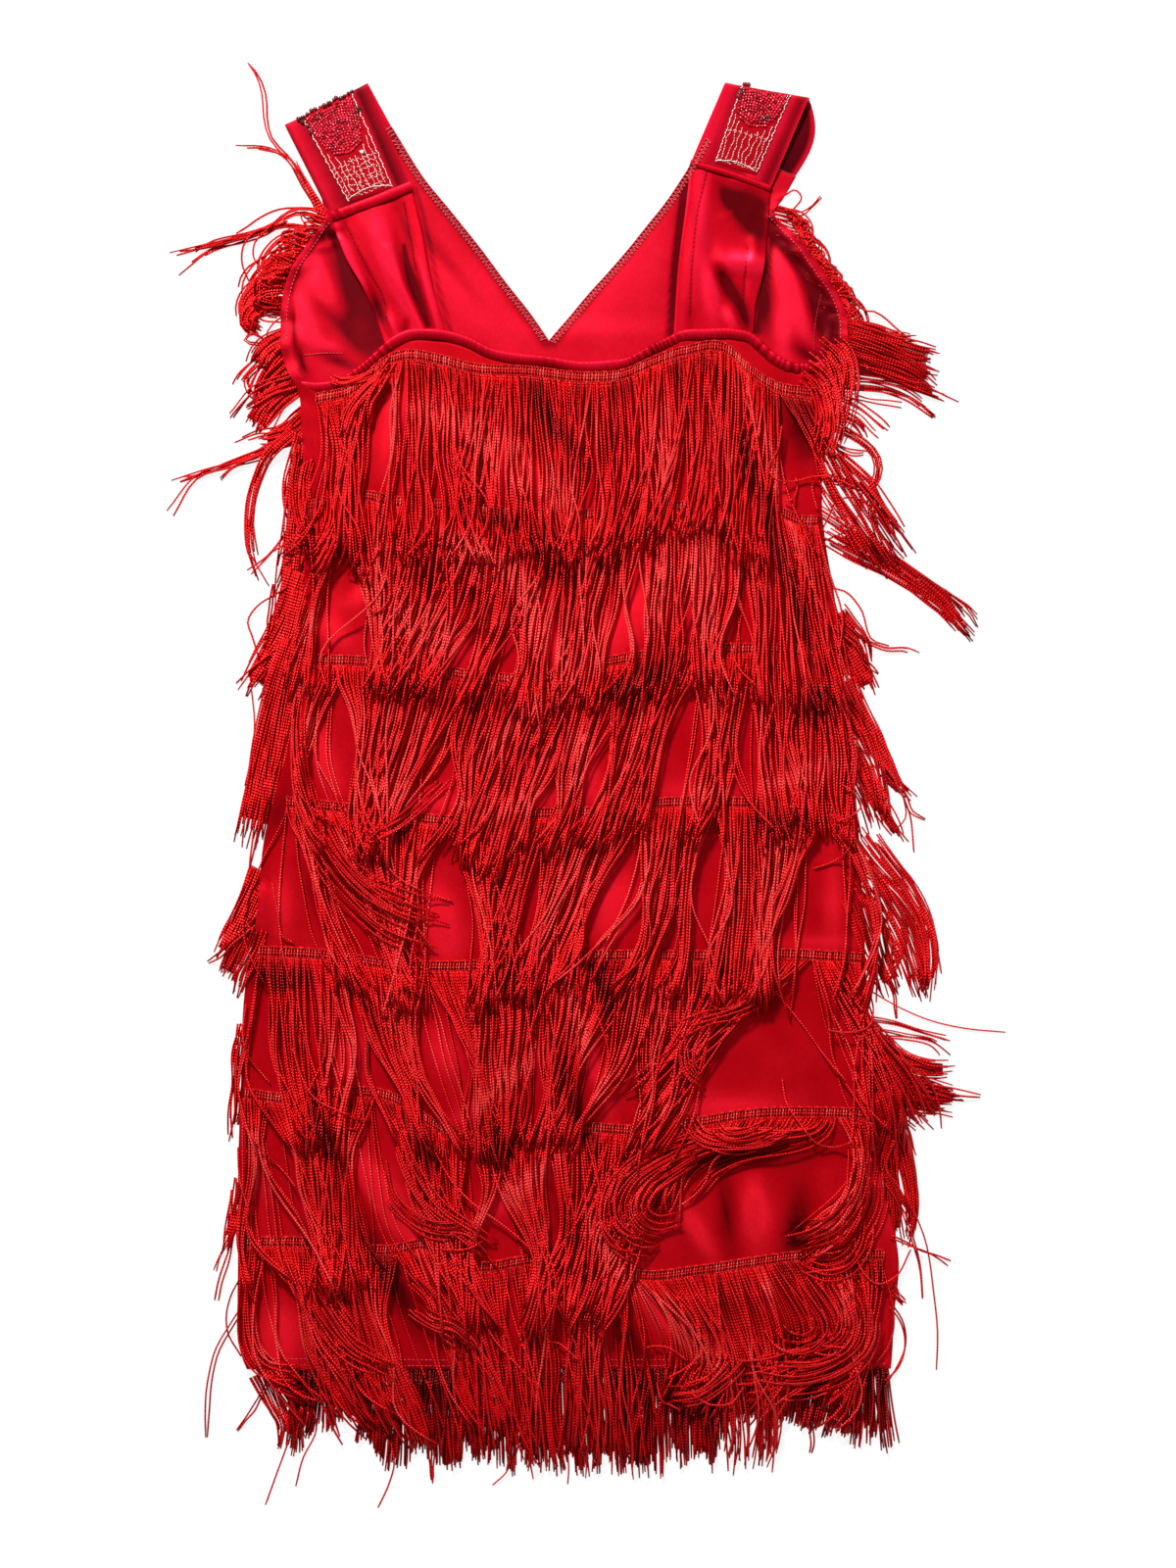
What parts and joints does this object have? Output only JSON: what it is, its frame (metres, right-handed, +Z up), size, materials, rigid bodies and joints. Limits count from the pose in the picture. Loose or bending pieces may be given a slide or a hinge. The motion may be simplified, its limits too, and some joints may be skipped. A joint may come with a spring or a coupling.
{
  "type": "flapper dress",
  "caption": "Sleeveless satin dress laid flat with its back up, with a V neck, a scooped back neck, folded beaded straps and rows of long fringe.",
  "frame": {"origin": "middle of the laid-out dress, at the level of the surface that it lies on", "axes": "+Y towards the straps, +X towards the wearer's right side, +Z up out of the back of the dress"},
  "size_m": [0.6263, 1.0497, 0.0155],
  "materials": {
    "red_satin": "satin",
    "red_chainette": "satin",
    "red_beads": "gloss"
  },
  "bodies": {
    "root": {"front_panel": "red_satin", "back_panel": "red_satin", "back_neck_casing": "red_satin", "shoulder_piece_left": "red_satin", "shoulder_piece_right": "red_satin", "strap_left": "red_satin", "strap_right": "red_satin", "bead_trim_left": "red_beads", "bead_trim_right": "red_beads", "fringe_back_1": "red_chainette", "fringe_back_2": "red_chainette", "fringe_back_3": "red_chainette", "fringe_back_4": "red_chainette", "fringe_back_5": "red_chainette", "fringe_back_6": "red_chainette", "fringe_back_7": "red_chainette", "fringe_front_hem": "red_chainette", "fringe_front_left_1": "red_chainette", "fringe_front_left_2": "red_chainette", "fringe_front_left_3": "red_chainette", "fringe_front_left_4": "red_chainette", "fringe_front_left_5": "red_chainette", "fringe_front_left_6": "red_chainette", "fringe_front_left_7": "red_chainette", "fringe_front_left_8": "red_chainette", "fringe_front_left_9": "red_chainette", "fringe_front_right_1": "red_chainette", "fringe_front_right_2": "red_chainette", "fringe_front_right_3": "red_chainette", "fringe_front_right_4": "red_chainette", "fringe_front_right_5": "red_chainette", "fringe_front_right_6": "red_chainette", "fringe_front_right_7": "red_chainette", "fringe_front_right_8": "red_chainette", "fringe_front_right_9": "red_chainette"}
  },
  "joints": []
}
